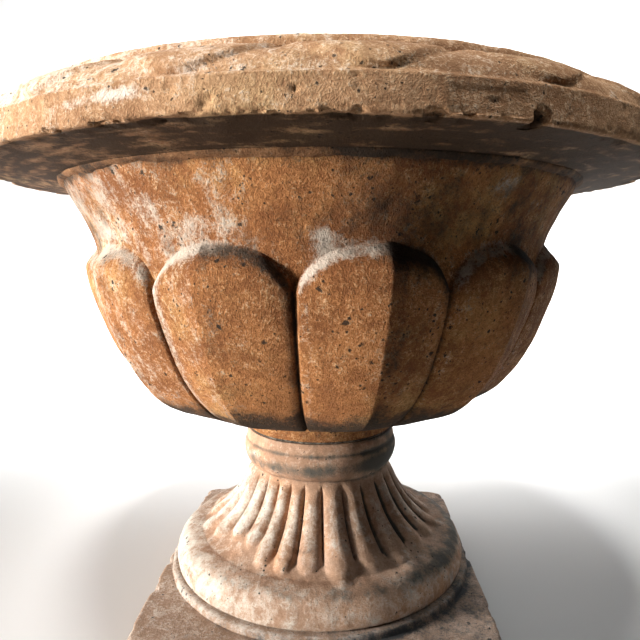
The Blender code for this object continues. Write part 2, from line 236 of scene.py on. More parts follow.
class Graph:
    """Short forms for building a material's node tree."""

    def __init__(self, name):
        self.material = bpy.data.materials.new(name)
        self.material.use_nodes = True
        self.tree = self.material.node_tree
        self.shader = self.tree.nodes["Principled BSDF"]

    def node(self, kind, inputs=(), **settings):
        made = self.tree.nodes.new("ShaderNode" + kind)
        for key, value in settings.items():
            setattr(made, key, value)
        for key, value in dict(inputs).items():
            self.put(made.inputs[key], value)
        return made

    def put(self, socket, value):
        if isinstance(value, bpy.types.NodeSocket):
            self.tree.links.new(value, socket)
        elif socket.type == "RGBA" and len(value) == 3:
            socket.default_value = (*value, 1.0)
        else:
            socket.default_value = value

    def place(self, scale=(1, 1, 1), offset=(0, 0, 0)):
        where = self.node("TexCoord").outputs["Object"]
        inputs = {"Vector": where, "Scale": scale, "Location": offset}
        return self.node("Mapping", inputs).outputs["Vector"]

    def noise(self, vector, scale, detail=3.0, roughness=0.55, distortion=0.0):
        inputs = {"Vector": vector, "Scale": scale, "Detail": detail, "Roughness": roughness,
                  "Distortion": distortion}
        return self.node("TexNoise", inputs).outputs["Fac"]

    def wild(self, *settings):
        """Noise spread to about -1 to 1."""
        return self.math("MULTIPLY", self.math("SUBTRACT", self.noise(*settings), 0.5), 4.5)

    def math(self, operation, first, second=0.0, clamp=False):
        made = self.node("Math", {0: first, 1: second}, operation=operation, use_clamp=clamp)
        return made.outputs["Value"]

    def add(self, *terms):
        """A sum of (value, weight) pairs."""
        total = 0.0
        for value, weight in terms:
            part = self.math("MULTIPLY", value, weight)
            total = self.math("ADD", part, total)
        return total

    def window(self, value, low, high):
        """0 below low, 1 above high, smooth between."""
        inputs = {"Value": value, "From Min": low, "From Max": high}
        return self.node("MapRange", inputs, interpolation_type="SMOOTHSTEP").outputs["Result"]

    def mix(self, factor, first, second):
        made = self.node("Mix", data_type="RGBA")
        self.put(made.inputs[MIX_FACTOR], factor)
        self.put(made.inputs[MIX_FIRST], first)
        self.put(made.inputs[MIX_SECOND], second)
        return made.outputs[MIX_RESULT]

    def stain(self, name):
        return self.node("Attribute", attribute_name=name).outputs["Fac"]


def dimmed(colour, share):
    return tuple(part * share for part in colour)


def clay(name, dark, middle, light, lime, soot_and_shade=(0.026, 0.018, 0.012), pits=0.5, relief=0.0016,
         speckle=1.0, ochre=None):
    """Weathered fired clay: blotches, lime bloom, soot, pits and grain.

    The pieces' two stain values say where lime and painted highlights make it paler, and where soot
    and painted shade make it black.
    """
    g = Graph(name)
    where = g.place()
    # Layers of noise, the broadest first, and runs of water down the sides
    broad = g.wild(where, 8.0, 3.0, 0.6)
    patchy = g.wild(where, 36.0, 5.0, 0.70, 0.5)
    mottle = g.wild(g.place(offset=(1.3, 4.1, 2.2)), 105.0, 4.0, 0.72, 0.3)
    fine = g.math("MULTIPLY", g.wild(where, 380.0, 4.0, 0.78), speckle)
    grain = g.math("MULTIPLY", g.wild(where, 900.0, 2.0, 0.7), speckle)
    runs = g.wild(g.place((1, 1, 0.22), (3.1, 0, 0)), 95.0, 5.0, 0.70)

    # The clay's own colour: dark to middle, yellowish areas, pale grains, scorched spots
    shade = g.window(g.add((broad, 0.45), (patchy, 0.60), (mottle, 0.42), (fine, 0.60),
                           (grain, 0.45)), -0.85, 0.80)
    if ochre:
        yellow = g.window(g.wild(g.place(offset=(5.2, 0.4, 3.3)), 13.0, 4.0, 0.62), -0.20, 0.90)
        middle = g.mix(yellow, middle, ochre)
    colour = g.mix(shade, dark, middle)
    glow = g.add((broad, -0.3), (mottle, 0.55), (fine, 0.80), (grain, 0.60), (patchy, 0.3))
    glow = g.window(glow, 0.20, 1.20)
    colour = g.mix(g.math("MULTIPLY", glow, 0.75), colour, light)
    scorch = g.wild(g.place(offset=(8.3, 0, 1.7)), 64.0, 5.0, 0.72)
    scorch = g.window(g.add((scorch, 0.8), (fine, 0.35)), 0.35, 0.85)
    colour = g.mix(g.math("MULTIPLY", scorch, 0.60), colour, dimmed(dark, 0.32))

    # What lies on it: black freckles, a veil of lime that also lays painted highlights, then grime
    # that also lays painted shade, and pits
    bloom_and_highlight, dirt_and_shade = g.stain("bloom_and_highlight"), g.stain("soot_and_shade")
    freckles = g.wild(g.place(offset=(2.9, 6.1, 0)), 480.0, 3.0, 0.7)
    freckles = g.add((freckles, 0.80), (mottle, 0.30), (grain, 0.45), (dirt_and_shade, 0.6))
    freckles = g.window(freckles, 0.42, 0.86)
    colour = g.mix(g.math("MULTIPLY", freckles, 0.66 * speckle), colour, dimmed(dark, 0.22))

    veil_and_highlight = g.add((patchy, 0.24), (runs, 0.30), (mottle, 0.34), (fine, 0.42), (grain, 0.16),
                 (bloom_and_highlight, 1.5))
    veil_and_highlight = g.window(veil_and_highlight, 0.40, 1.42)
    colour = g.mix(g.math("MULTIPLY", veil_and_highlight, 0.85), colour, lime)

    grime_and_shade = g.wild(g.place(offset=(0, 7.7, 0)), 44.0, 5.0, 0.7)
    grime_and_shade = g.add((grime_and_shade, 0.34), (runs, 0.20), (fine, 0.24), (dirt_and_shade, 1.5))
    grime_and_shade = g.window(grime_and_shade, 0.36, 1.14)
    colour = g.mix(g.math("MULTIPLY", grime_and_shade, 0.94), colour, soot_and_shade)

    holes = 0.0
    for scale, size in ((75.0, 0.11), (170.0, 0.16)):  # large pits, then small ones
        cell = g.node("TexVoronoi", {"Vector": where, "Scale": scale, "Randomness": 1.0})
        depth = g.add((cell.outputs["Distance"], 1.0), (mottle, -0.12), (fine, -0.17),
                      (patchy, -0.15))
        depth = g.window(depth, size * pits, size * pits * 0.45)
        holes = g.math("MAXIMUM", holes, depth)
    colour = g.mix(g.math("MULTIPLY", holes, 0.9), colour, dimmed(soot_and_shade, 0.4))

    height = g.add((mottle, 0.11), (fine, 0.14), (grain, 0.13), (patchy, 0.14), (holes, -0.50),
                   (veil_and_highlight, 0.06), (freckles, -0.10))
    lumps = g.node("Bump", {"Strength": 0.9, "Distance": relief, "Height": height})
    g.put(g.shader.inputs["Base Color"], colour)
    g.put(g.shader.inputs["Normal"], lumps.outputs["Normal"])
    g.put(g.shader.inputs["Roughness"], 0.88)
    g.put(g.shader.inputs["Specular IOR Level"], 0.25)
    return g.material


def ironwork():
    """Dull iron with patches of rust."""
    g = Graph("rusted_iron")
    where = g.place()
    rust = g.add((g.noise(where, 160.0, 5.0, 0.7), 0.8), (g.noise(where, 700.0), 0.4))
    rust = g.window(rust, 0.5, 0.75)
    colour = g.mix(rust, (0.20, 0.18, 0.17), (0.16, 0.060, 0.022))
    g.put(g.shader.inputs["Base Color"], colour)
    g.put(g.shader.inputs["Metallic"], g.math("SUBTRACT", 0.85, rust, True))
    g.put(g.shader.inputs["Roughness"], g.math("ADD", 0.42, g.math("MULTIPLY", rust, 0.45)))
    lumps = g.node("Bump", {"Strength": 0.6, "Distance": 0.0004, "Height": rust})
    g.put(g.shader.inputs["Normal"], lumps.outputs["Normal"])
    return g.material


def rubber():
    """Black rubber, dusty in places."""
    g = Graph("aged_rubber")
    dust = g.window(g.noise(g.place(), 220.0, 4.0, 0.7), 0.45, 0.75)
    g.put(g.shader.inputs["Base Color"], g.mix(dust, (0.018, 0.018, 0.018), (0.07, 0.062, 0.052)))
    g.put(g.shader.inputs["Roughness"], 0.8)
    return g.material


BOWL_CLAY = clay("bowl_clay", dark=(0.25, 0.092, 0.030), middle=(0.60, 0.255, 0.088),
                 light=(0.80, 0.54, 0.31), lime=(0.72, 0.63, 0.53), soot_and_shade=(0.040, 0.028, 0.018),
                 pits=0.68, relief=0.0032, ochre=(0.70, 0.40, 0.145))
RIM_CLAY = clay("rim_clay", dark=(0.30, 0.150, 0.070), middle=(0.58, 0.340, 0.180),
                light=(0.74, 0.53, 0.35), lime=(0.80, 0.70, 0.60), soot_and_shade=(0.046, 0.025, 0.012),
                pits=0.60, relief=0.0019, ochre=(0.62, 0.40, 0.20))
ROLL_CLAY = clay("joint_clay", dark=(0.17, 0.075, 0.032), middle=(0.36, 0.18, 0.080),
                 light=(0.50, 0.32, 0.18), lime=(0.55, 0.44, 0.33))
FOOT_CLAY = clay("foot_clay", dark=(0.36, 0.215, 0.135), middle=(0.63, 0.425, 0.305),
                 light=(0.76, 0.63, 0.51), lime=(0.77, 0.75, 0.67), soot_and_shade=(0.090, 0.091, 0.078),
                 pits=0.45, speckle=0.50, ochre=(0.66, 0.35, 0.19))
PLINTH_CLAY = clay("plinth_clay", dark=(0.38, 0.25, 0.17), middle=(0.60, 0.44, 0.34),
                   light=(0.72, 0.59, 0.49), lime=(0.76, 0.70, 0.63), soot_and_shade=(0.055, 0.065, 0.070),
                   pits=0.4)
MORTAR = clay("lime_mortar", dark=(0.30, 0.25, 0.19), middle=(0.50, 0.44, 0.36),
              light=(0.62, 0.58, 0.50), lime=(0.66, 0.63, 0.56))


# Bowl

LOBE_VALLEY = -2.7
LOBE_HEIGHT = 0.0070
KEEL_HEIGHT = 0.0085
LOBE_BORDER = 0.010
# Half a groove's width and how far each lobe's keel stands off its middle, in degrees
GROOVE_HALF = 1.05
KEEL_SHIFTS = (1.7, 2.4, -1.2, 0.8, -0.6, 1.5, -1.9, 0.4, 1.1, -0.7, -0.8, -2.6)
# Patches: angle, height, half width in degrees, half height in metres, strength
WALL_BLOOM = (
    (-60, 0.398, 8, 0.016, 0.36), (-50, 0.374, 6, 0.012, 0.30), (-42, 0.400, 5, 0.012, 0.35),
    (-31, 0.385, 3.0, 0.012, 0.30), (-21, 0.375, 3.2, 0.008, 0.16),
    (-14, 0.392, 3.0, 0.022, 0.28), (2.7, 0.365, 2.6, 0.010, 0.80), (36, 0.403, 3.4, 0.011, 0.60),
    (48, 0.395, 5, 0.010, 0.35), (88, 0.390, 8, 0.014, 0.45), (140, 0.380, 9, 0.016, 0.50),
    (-160, 0.395, 12, 0.015, 0.50), (-112, 0.385, 10, 0.018, 0.55), (-84, 0.370, 8, 0.012, 0.45),
)
WALL_SOOT = (
    (-24, 0.405, 3.5, 0.010, 0.25), (11, 0.392, 6, 0.016, 0.30), (21, 0.380, 5, 0.014, 0.35),
    (30, 0.378, 6, 0.018, 0.30), (44, 0.372, 6, 0.016, 0.40), (70, 0.395, 8, 0.012, 0.35),
    (118, 0.385, 9, 0.016, 0.40), (170, 0.380, 10, 0.014, 0.35), (-128, 0.372, 7, 0.012, 0.30),
)


def wall_line():
    """The plain wall's outline, down from the rim to the lobes."""
    top = (WALL_TOP_RADIUS, SOFFIT_JOINT)
    below = curve(top, (0.226, 0.395), (0.2105, 0.375), (BELLY_TOP_RADIUS, BELLY_TOP), 60)
    return np.concatenate([[top], below])


def bowl_outer():
    """The bowl's outer outlines [around, down], their angles, and the stain values on them, which
    carry soot and lime along with painted shade and painted highlights.
    """
    lobe = 360.0 / LOBE_COUNT
    offsets, keels, numbers = [], [], []
    for number in range(LOBE_COUNT):
        keel = lobe / 2 + KEEL_SHIFTS[number]
        # Columns stand close together in the grooves and at the keel
        stops = (0, GROOVE_HALF, keel - 0.3, keel, keel + 0.3, lobe - GROOVE_HALF, lobe)
        for low, high, count in zip(stops, stops[1:], (8, 11, 1, 1, 11, 8)):
            offsets += list(np.linspace(low, high, count + 1)[:-1])
            keels += [keel] * count
            numbers += [number] * count
    offset, keel = np.array(offsets), np.array(keels)
    angle = LOBE_VALLEY + lobe * np.array(numbers) + offset
    round_axis = np.stack([np.sin(np.radians(angle)), np.cos(np.radians(angle)), 0 * angle], -1)

    across = np.abs(offset - lobe / 2) / (lobe / 2)
    arch = ARCH_SPRING + (ARCH_CROWN - ARCH_SPRING) * np.sqrt(np.maximum(1 - across ** 2, 0))
    arch = arch + 0.0016 * noise(round_axis, 0.11)
    waist, bottom = (WAIST_RADIUS, WAIST), (BELLY_BOTTOM_RADIUS, BELLY_BOTTOM)
    upper = curve((BELLY_TOP_RADIUS, BELLY_TOP), (0.2098, 0.330), (0.2035, 0.312), waist, 60)
    lower = curve(waist, (0.177, 0.250), (0.150, 0.2185), bottom, 56)
    line = np.concatenate([wall_line(), upper, lower])

    def rows(start, end, count):
        share = np.linspace(0, 1, count + 1)[1:]
        return start[:, None] * (1 - share) + end[:, None] * share

    flat = np.zeros_like(arch)
    heights = np.concatenate([
        (flat + SOFFIT_JOINT)[:, None], rows(flat + SOFFIT_JOINT, arch + 0.001, 32),
        rows(arch + 0.001, arch - LOBE_BORDER, 11), rows(arch - LOBE_BORDER, flat + WAIST, 32),
        np.repeat(lower[None, :, 1], len(angle), axis=0)], axis=1)
    radii = np.interp(heights, line[::-1, 1], line[::-1, 0])
    plain = np.stack([radii, heights], -1)

    ahead, behind = offset / keel, (lobe - offset) / (lobe - keel)
    climb = np.minimum(ahead, behind)[:, None]
    edge = np.minimum(offset, lobe - offset)[:, None]
    shallow = 0.50 * smooth(ARCH_SPRING + 0.004, ARCH_SPRING - 0.030, heights)
    across_groove = 1 - (1 - shallow) * (1 - np.clip(edge / GROOVE_HALF, 0, 1)) ** 1.6
    border = 1 - (1 - np.clip((arch[:, None] - heights) / LOBE_BORDER, 0, 1)) ** 1.8
    body = smooth(0.098, 0.132, radii)
    keel_rise = smooth(0.120, 0.170, radii) * smooth(0.003, 0.019, arch[:, None] - heights)
    lift = LOBE_HEIGHT * body + climb * KEEL_HEIGHT * keel_rise
    lifted = plain + outward(plain) * (lift * np.minimum(across_groove, border))[..., None]

    neck = curve(bottom, (0.083, 0.2045), (0.0765, 0.193), (COLLAR_TOP_RADIUS, NECK_BOTTOM), 16)
    outlines = np.concatenate([lifted, turned_outlines(angle, neck)], axis=1)
    points = swept(angle, outlines)
    worn = 0.0012 * noise(points, 0.11, 2) + 0.0007 * noise(points, 0.028, 3, 5.0)
    settle = smooth(SOFFIT_JOINT, SOFFIT_JOINT - 0.01, outlines[..., 1])
    settle = settle * smooth(NECK_BOTTOM - 0.001, NECK_BOTTOM + 0.006, outlines[..., 1])
    outlines = outlines + outward(outlines) * (worn * settle)[..., None]

    height = outlines[..., 1]
    turn, far = angle[:, None] + 0 * height, offset[:, None] + 0 * height
    below, keel_far = arch[:, None] - height, far - keel[:, None]
    bleached_and_lit = lit_side_bleaching(turn)
    painted_shade_side = smooth(-150, -20, apart(turn, 50)) * smooth(190, 120, np.abs(apart(turn, 50)))

    on_border = bump(below, 0.0045, 0.0065) * smooth(0.0, 2.0, edge)
    on_lobe = smooth(-0.001, 0.004, below) * smooth(0.205, 0.222, height)
    right_half = smooth(lobe * 0.42, lobe * 0.62, far)
    before_groove, in_groove = bump(lobe - far, 0.8, 1.2), bump(edge, 0, 0.4)
    after_groove = bump(far, 2.0, 1.4)
    before_keel = smooth(0.3, -0.4, keel_far) * smooth(-6.0, -0.5, keel_far)
    past_keel = smooth(0.0, 0.5, keel_far) * smooth(9.0, 1.0, keel_far)
    lobe_top = smooth(0.034, 0.008, below) * smooth(-4.0, 1.0, keel_far)
    under_rim, on_neck = smooth(0.408, 0.417, height), smooth(0.206, 0.200, height)
    under_belly = smooth(0.250, 0.218, height) * smooth(0.090, 0.110, outlines[..., 0])
    upper_wall = smooth(BELLY_TOP, 0.37, height) * smooth(-40, 10, apart(turn, 0))
    far_left = bump(apart(turn, -66), 0, 24)
    limed = smooth(5, -30, apart(turn, 0)) * smooth(-170, -100, apart(turn, 0))
    round_arch = smooth(0.012, -0.004, below) * smooth(-0.03, -0.008, below)

    # Arch borders: soot all round, and painted shade on each border's right half, turned from the
    # key light
    soot_and_shade = 0.28 * on_border * right_half * (1 - 0.75 * bleached_and_lit) + 0.12 * on_border
    # Painted shade in the grooves between lobes and on each lobe's right edge as it drops into the
    # groove
    soot_and_shade = soot_and_shade + on_lobe * (0.16 * before_groove + 0.40 * in_groove)
    # Painted shade on each lobe's right facet past the keel, turned from the key light, and at the
    # top of that facet under the arch
    soot_and_shade = soot_and_shade + on_lobe * (0.22 * past_keel + 0.26 * lobe_top * (1 - bleached_and_lit))
    # Painted shade under the rim's overhang and on the belly's underside; the neck is darker too
    soot_and_shade = soot_and_shade + 0.32 * under_rim + 0.60 * under_belly + 0.16 * on_neck
    # Listed soot patches on the wall, and painted shade over the side turned from the key light,
    # the right and back
    soot_and_shade = soot_and_shade + 0.34 * patches(turn, height, WALL_SOOT) + 0.20 * painted_shade_side
    soot_and_shade = soot_and_shade + (0.06 + 0.40 * far_left) * smooth(-0.001, -0.006, below)
    # More painted shade on the upper wall on that side
    soot_and_shade = soot_and_shade + 0.10 * upper_wall * painted_shade_side
    # Painted highlights, with lime: the left half of each arch border and each lobe's left edge
    # past the groove, both facing the key light
    bloom_and_highlight = on_border * (0.66 - 0.30 * right_half) + 0.34 * on_lobe * after_groove
    # Painted highlight on each lobe's facet just left of the keel, the lit side
    bloom_and_highlight = bloom_and_highlight + 0.20 * on_lobe * before_keel
    bloom_and_highlight = bloom_and_highlight + patches(turn, height, WALL_BLOOM) + 0.12 * bleached_and_lit
    bloom_and_highlight = bloom_and_highlight + 0.27 * limed * smooth(-0.002, -0.006, below) + 0.18 * round_arch
    bloom_and_highlight = bloom_and_highlight + on_lobe * (0.36 * bump(apart(turn, -50), 0, 38) - 0.06)
    return outlines, angle, soot_and_shade, bloom_and_highlight


def drill_drains(bowl):
    """Cut the drain holes down through the bowl's floor."""
    sides, bottom, top = 32, 0.14, 0.26
    turn = np.arange(sides) * 2 * math.pi / sides
    points, faces = [], []
    for number in range(DRAIN_COUNT):
        middle = 2 * math.pi * (number + 0.5) / DRAIN_COUNT
        x = DRAIN_CIRCLE_RADIUS * math.sin(middle) + DRAIN_HOLE_RADIUS * np.cos(turn)
        y = DRAIN_CIRCLE_RADIUS * math.cos(middle) + DRAIN_HOLE_RADIUS * np.sin(turn)
        start = len(points)
        for height in (bottom, top):
            points += [(float(a), float(b), height) for a, b in zip(x, y)]
        below = list(range(start, start + sides))
        above = list(range(start + sides, start + 2 * sides))
        faces += [below[::-1], above]
        faces += [(below[i - 1], below[i], above[i], above[i - 1]) for i in range(sides)]
    mesh = bpy.data.meshes.new("drains")
    mesh.from_pydata(points, [], faces)
    cutter = bpy.data.objects.new("drains", mesh)
    bpy.context.scene.collection.objects.link(cutter)
    cut = bowl.modifiers.new("drains", "BOOLEAN")
    cut.operation, cut.solver, cut.object = "DIFFERENCE", "EXACT", cutter
    whole = bowl.data
    drilled = bowl.evaluated_get(bpy.context.evaluated_depsgraph_get())
    bowl.data = bpy.data.meshes.new_from_object(drilled)
    bowl.modifiers.clear()
    bowl.data.set_sharp_from_angle(angle=SHARP_EDGE)
    bpy.data.objects.remove(cutter)
    bpy.data.meshes.remove(mesh)
    bpy.data.meshes.remove(whole)
    bowl.data.name = bowl.name


def make_bowl():
    """The bowl as one closed skin: outside, spigot, rod hole, floor with its boss, and cavity."""
    outer, angle, soot_and_shade, bloom_and_highlight = bowl_outer()
    top = np.array([(WALL_TOP_RADIUS + 0.001, BOWL_TOP)])
    boss_top = BOWL_FLOOR + BOSS_HEIGHT
    rod_hole = straight((ROD_HOLE_RADIUS, SPIGOT_BOTTOM), (ROD_HOLE_RADIUS, boss_top), 2)
    floor_edge, waist = (BOWL_FLOOR_RADIUS, BOWL_FLOOR), (INSIDE_WAIST_RADIUS, INSIDE_WAIST)
    inner = np.concatenate([
        [(SPIGOT_RADIUS, NECK_BOTTOM), (SPIGOT_RADIUS, SPIGOT_BOTTOM),
         (ROD_HOLE_RADIUS, SPIGOT_BOTTOM)],
        rod_hole,
        [(BOSS_RADIUS, boss_top), (BOSS_RADIUS, BOWL_FLOOR)],
        straight((BOSS_RADIUS, BOWL_FLOOR), floor_edge, 5),
        curve(floor_edge, (0.135, 0.236), (0.180, 0.275), waist, 16),
        curve(waist, (0.192, 0.360), (0.205, 0.400), (BOWL_MOUTH_RADIUS, BOWL_TOP), 10)])
    outlines = [turned_outlines(angle, top), outer, turned_outlines(angle, inner)]
    outlines = np.concatenate(outlines, axis=1)
    pad = ((0, 0), (1, len(inner)))
    stains = {"soot_and_shade": np.pad(soot_and_shade, pad, constant_values=0.35), "bloom_and_highlight": np.pad(bloom_and_highlight, pad)}
    bowl = ring("urn_bowl", swept(angle, outlines), BOWL_CLAY, ["bowl"], stains)
    drill_drains(bowl)


# Rim

LIP, LIP_EDGE, OVOLO, STEP, BAND, CORNER, SOFFIT, SEAT, LEDGE, THROAT = range(10)
# The leaves on the ovolo: degrees between them, a gap's middle, and heights
LEAF_PITCH = 20.0
LEAF_MIDDLE = 7.5
LEAF_BOTTOM = 0.4455
LEAF_TOP = 0.467
LEAF_RELIEF = 0.0030
# Chips: angle, half width in degrees, height, depth
EDGE_CHIPS = (
    (24.6, 1.0, 0.0100, 0.011), (12.9, 1.5, 0.0035, 0.005), (16.6, 0.8, 0.0030, 0.003),
    (5.6, 0.5, 0.0035, 0.003), (-28.6, 0.9, 0.0030, 0.003), (-10.5, 1.2, 0.0020, 0.003),
    (-18.4, 0.7, 0.0025, 0.003), (52, 1.6, 0.005, 0.006), (83, 2.2, 0.004, 0.004),
    (-58, 1.8, 0.005, 0.005), (126, 1.2, 0.006, 0.007), (-97, 2.4, 0.0035, 0.004),
    (171, 2.0, 0.005, 0.006), (-139, 1.3, 0.004, 0.005),
)
BAND_BLOOM = (
    (-18.5, 0.4375, 3.0, 0.0042, 0.85), (-24.5, 0.4350, 2.2, 0.0030, 0.45),
    (-5, 0.430, 5, 0.006, 0.18), (-70, 0.437, 12, 0.006, 0.4), (-120, 0.434, 9, 0.006, 0.45),
    (95, 0.436, 8, 0.005, 0.4), (150, 0.433, 10, 0.006, 0.4), (-165, 0.437, 8, 0.005, 0.4),
)


def rim_profile():
    """The rim's outline, once round from its inner lip, and which part each point is on."""
    lip_inside, lip_outside = (0.236, LIP_HEIGHT), (0.258, LIP_HEIGHT)
    ovolo_top, ovolo_bottom = (0.265, 0.466), (0.2945, OVOLO_BOTTOM)
    band_top, band_bottom = (0.2985, BAND_TOP), (0.300, 0.4253)
    edge, dip = (0.298, RIM_BOTTOM), (0.270, RIM_BOTTOM - 0.002)
    seat_bottom, seat_top = (RIM_SEAT_RADIUS, 0.4183), (RIM_SEAT_RADIUS, BOWL_TOP + GAP)
    mouth = (BOWL_MOUTH_RADIUS, BOWL_TOP + GAP)
    parts = {
        LIP: straight(lip_inside, lip_outside, 8),
        LIP_EDGE: curve(lip_outside, (0.263, LIP_HEIGHT), (0.2655, 0.471), ovolo_top, 7),
        OVOLO: curve(ovolo_top, (0.279, 0.462), (0.291, 0.456), ovolo_bottom, 24),
        STEP: curve(ovolo_bottom, (0.2952, 0.4448), (0.2975, 0.4448), band_top, 4),
        BAND: straight(band_top, band_bottom, 18),
        CORNER: curve(band_bottom, (0.300, 0.4240), (0.2993, RIM_BOTTOM), edge, 4),
        SOFFIT: np.concatenate([straight(edge, dip, 9), straight(dip, seat_bottom, 9)]),
        SEAT: straight(seat_bottom, seat_top, 2),
        LEDGE: straight(seat_top, mouth, 2),
        THROAT: curve(mouth, (0.217, 0.462), (0.224, 0.472), lip_inside, 10)}
    kinds = np.concatenate([np.full(len(part), kind) for kind, part in parts.items()])
    return np.concatenate(list(parts.values())), kinds


def make_rim():
    """The rim, with leaves on its ovolo, a chipped lower edge and a streaked soffit in painted
    shade.
    """
    steps = 960
    angle = np.arange(steps) * 360.0 / steps
    profile, kinds = rim_profile()
    outlines = turned_outlines(angle, profile)
    turn = angle[:, None] + 0 * outlines[..., 0]
    height, radius = outlines[..., 1].copy(), outlines[..., 0].copy()
    points = swept(angle, outlines)
    on_ovolo, on_band = (kinds == OVOLO) * 1.0, (kinds == BAND) * 1.0
    on_edge = ((kinds >= BAND) & (kinds <= SOFFIT)) * 1.0
    on_soffit = ((kinds == SOFFIT) | (kinds == SEAT)) * 1.0
    on_leaf = (kinds <= STEP) * 1.0

    rise = np.clip((height - LEAF_BOTTOM) / (LEAF_TOP - LEAF_BOTTOM), 0, 1) * on_ovolo
    away = apart(turn, LEAF_MIDDLE) % LEAF_PITCH
    away = np.where(away > LEAF_PITCH / 2, away - LEAF_PITCH, away)
    reach = LEAF_PITCH / 2 * rise ** 0.8 + 0.25 * noise(points, 0.03)
    soft = np.where(away > 0, 0.45, 1.5)
    leaf = smooth(-soft, soft, reach - np.abs(away)) * smooth(0.02, 0.12, rise)
    leaf = leaf * (1 - 0.35 * np.clip(np.abs(away) / (LEAF_PITCH / 2), 0, 1) ** 2)

    worn = 0.0010 * noise(points, 0.13, 2, 3.0) + 0.0006 * noise(points, 0.025, 3, 9.0)
    exposed = (kinds >= LIP_EDGE) * (kinds <= SOFFIT) * 1.0
    exposed = exposed * smooth(RIM_SEAT_RADIUS, RIM_SEAT_RADIUS + 0.02, radius)
    push = LEAF_RELIEF * leaf * on_ovolo + worn * exposed
    outlines = outlines + outward(outlines) * push[..., None]

    near_edge = bump(height, RIM_BOTTOM, 0.0035) * smooth(0.285, 0.296, radius) * on_edge
    ragged = np.maximum(noise(points, 0.012, 3, 2.0) - 0.05, 0) * 0.0065
    ragged = ragged + np.maximum(noise(points, 0.045, 2, 6.0) - 0.25, 0) * 0.0070
    bite = near_edge * ragged
    hollow = 0.0
    rough = 1 + 0.25 * noise(points, 0.008, 2, 4.0)
    for middle, wide, tall, depth in EDGE_CHIPS:
        across, up = apart(turn, middle) / (wide * rough), (height - RIM_BOTTOM) / (tall * rough)
        chip = depth * smooth(1.0, 0.55, across ** 2 + up ** 2) * smooth(0.286, 0.292, radius)
        hollow = np.maximum(hollow, chip * on_edge)
    spall = smooth(14.2, 14.8, turn) * smooth(23.4, 22.9, turn)
    spall = spall * smooth(0.4402, 0.4366, height - 0.002 * noise(points, 0.02)) * on_band
    crumbs = np.maximum(noise(points, 0.010, 2, 8.0) - 0.45, 0) * 0.004
    crumbs = crumbs * ((kinds == BAND) | (kinds == STEP))
    outlines[..., 0] -= bite + hollow + 0.0007 * spall + crumbs
    wavy = 0.0009 * near_edge * noise(points, 0.09, 2, 1.0)
    outlines[..., 1] += 0.5 * bite * (kinds >= CORNER) + wavy

    bleached_and_lit = lit_side_bleaching(turn)
    wound = 0.054 * np.stack([np.sin(np.radians(turn)), np.cos(np.radians(turn))], -1)
    streaks = noise(np.concatenate([wound, radius[..., None]], -1), 0.007, 3, 5.0)
    # Painted shade on the band's right side, turned from the key light; the band's lime is lessened
    # there too
    painted_band_shade = smooth(0, 25, apart(turn, 10)) * smooth(170, 110, apart(turn, 10))
    # Painted shadow along the right edge of each leaf, where it steps down away from the key light
    leaf_edge_shadow = bump(reach - np.abs(away), -0.4, 0.42) * on_ovolo * (away > 0)
    leaf_edge_shadow = leaf_edge_shadow * smooth(0.1, 0.3, rise)
    # Painted shade on the soffit, the rim's underside, with streaks through it; its lime is taken
    # off below as well
    soot_and_shade = on_soffit * (0.77 + 0.52 * streaks)
    soot_and_shade = soot_and_shade + on_band * (0.16 * painted_band_shade + 0.08 * spall) - on_leaf * 0.15
    soot_and_shade = soot_and_shade + 120 * hollow + 35 * crumbs + 40 * bite - 0.15 * bleached_and_lit + 0.60 * leaf_edge_shadow
    bloom_and_highlight = patches(turn, height, BAND_BLOOM) * on_band + (0.16 + 0.22 * bleached_and_lit) * on_leaf
    bloom_and_highlight = bloom_and_highlight + 0.52 * bleached_and_lit - 0.7 * on_soffit - 0.25 * painted_band_shade * on_band
    stains = {"soot_and_shade": soot_and_shade, "bloom_and_highlight": bloom_and_highlight}
    ring("urn_rim", swept(angle, outlines), RIM_CLAY, ["rim_ring"], stains)


def make_rim_joint():
    """The roll of clay pressed by hand into the corner under the rim."""
    steps, tuck = 600, 0.0002
    angle = np.arange(steps) * 360.0 / steps
    around = np.stack([np.sin(np.radians(angle)), np.cos(np.radians(angle)), 0 * angle], -1)
    drop = 0.0040 + 0.0026 * noise(around, 0.22, 3) + 0.0012 * noise(around, 0.05, 2, 4.0)
    drop = np.clip(drop, 0.0016, 0.009)[:, None]
    spread = 0.0045 + 0.0015 * noise(around, 0.16, 2, 8.0)[:, None]
    quarter = np.linspace(0, math.pi / 2, 14)
    line = wall_line()
    foot_height = SOFFIT_JOINT - drop
    wall = np.interp(foot_height, line[::-1, 1], line[::-1, 0])
    height = SOFFIT_JOINT + tuck - drop * np.sin(quarter) ** 1.2
    radius = wall - 0.0006 + (spread + WALL_TOP_RADIUS - wall) * np.cos(quarter) ** 1.3
    outer = np.stack([radius, height], -1)
    back = np.stack([wall - 0.0016, foot_height + 0.001], -1)
    root = np.stack([0 * wall + WALL_TOP_RADIUS - 0.0015, 0 * wall + SOFFIT_JOINT + tuck], -1)
    outlines = np.concatenate([outer, back, root], axis=1)
    points = swept(angle, outlines)
    outlines[:, 2:-2] += (0.0006 * noise(points, 0.012, 2))[:, 2:-2, None]
    soot_and_shade = 0.58 - 0.20 * lit_side_bleaching(angle)[:, None] + 0.38 * noise(points, 0.035, 3, 3.0)
    points = swept(angle, outlines)
    stains = {"soot_and_shade": soot_and_shade, "bloom_and_highlight": 0.05}
    ring("urn_rim_joint", points, ROLL_CLAY, ["rim_joint_roll"], stains)


# Foot

